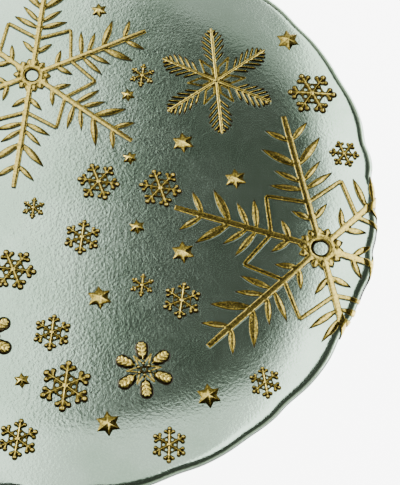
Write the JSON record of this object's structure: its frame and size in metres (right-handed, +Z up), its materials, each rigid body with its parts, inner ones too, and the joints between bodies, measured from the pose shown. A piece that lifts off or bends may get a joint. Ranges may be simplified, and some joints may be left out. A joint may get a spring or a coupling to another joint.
{
  "type": "charger plate",
  "caption": "Round shallow decorative charger plate with a wavy hand-formed rim, raised gilded snowflakes, blossoms and stars over the whole upper face, and a flat foot",
  "frame": {"origin": "centre of the flat foot, on the plane the plate stands on; the wavy rim is centred on it by its mean radius", "axes": "+Z up out of the dish, +X to the right and +Y away from a viewer at the front; the plate's thin direction is Z"},
  "size_m": [0.3311, 0.3305, 0.0146],
  "materials": {
    "pearl_lacquer": "satin pearl sage lacquer over glass, fine orange-peel grain",
    "gilding": "antiqued gold leaf, dark in the recesses, worn bright on the ridges"
  },
  "bodies": {
    "root": {"plate_body": "pearl_lacquer", "fern_flake_top": "gilding", "fern_flake_right": "gilding", "fern_flake_left": "gilding", "fir_flake_top": "gilding", "fir_flake_left": "gilding", "blossom_front": "gilding", "blossom_left": "gilding", "blossom_back": "gilding", "forked_flake_01": "gilding", "forked_flake_02": "gilding", "forked_flake_03": "gilding", "forked_flake_04": "gilding", "forked_flake_05": "gilding", "forked_flake_06": "gilding", "forked_flake_07": "gilding", "forked_flake_08": "gilding", "forked_flake_09": "gilding", "forked_flake_10": "gilding", "forked_flake_11": "gilding", "forked_flake_12": "gilding", "forked_flake_13": "gilding", "forked_flake_14": "gilding", "forked_flake_15": "gilding", "rosette_01": "gilding", "rosette_02": "gilding", "rosette_03": "gilding", "rosette_04": "gilding", "rosette_05": "gilding", "star_01": "gilding", "star_02": "gilding", "star_03": "gilding", "star_04": "gilding", "star_05": "gilding", "star_06": "gilding", "star_07": "gilding", "star_08": "gilding", "star_09": "gilding", "star_10": "gilding", "star_11": "gilding", "star_12": "gilding", "star_13": "gilding", "star_14": "gilding", "star_15": "gilding", "star_16": "gilding"}
  },
  "joints": []
}
